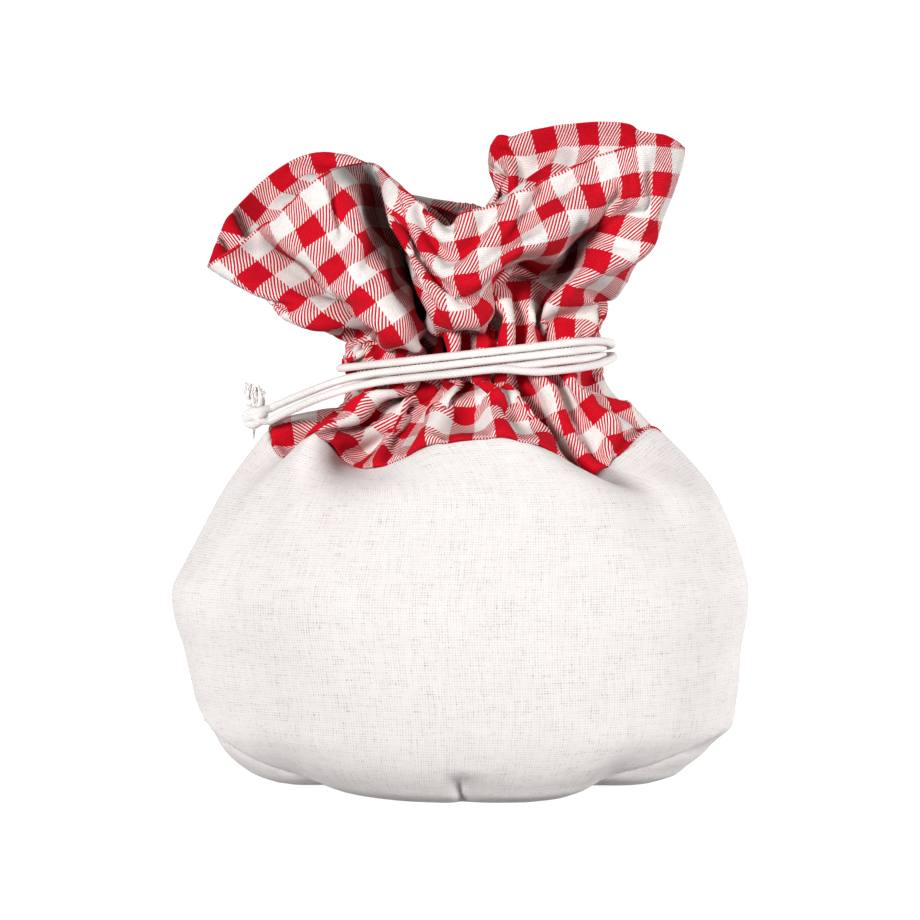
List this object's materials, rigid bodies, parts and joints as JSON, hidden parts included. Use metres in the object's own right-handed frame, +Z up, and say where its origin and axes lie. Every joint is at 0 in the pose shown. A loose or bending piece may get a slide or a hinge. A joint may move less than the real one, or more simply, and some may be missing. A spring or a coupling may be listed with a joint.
{
  "type": "potato storage bag",
  "caption": "Cloth storage bag for potatoes: a rounded linen pouch with a red gingham top, gathered at the neck by a wound cord tied in a knot, its open ruffle standing above.",
  "frame": {"origin": "centre of the bag's outline, on the surface it stands on", "axes": "+Z up, the front of the bag towards -Y, the cord's knot towards -X"},
  "size_m": [0.2354, 0.1468, 0.2738],
  "materials": {
    "linen": "plain weave, off-white",
    "gingham": "red and white woven check",
    "cord": "round white cotton cord"
  },
  "bodies": {
    "root": {"linen_pouch": "linen", "gingham_top": "gingham", "tie_cord": "cord", "tie_knot": "cord"}
  },
  "joints": []
}
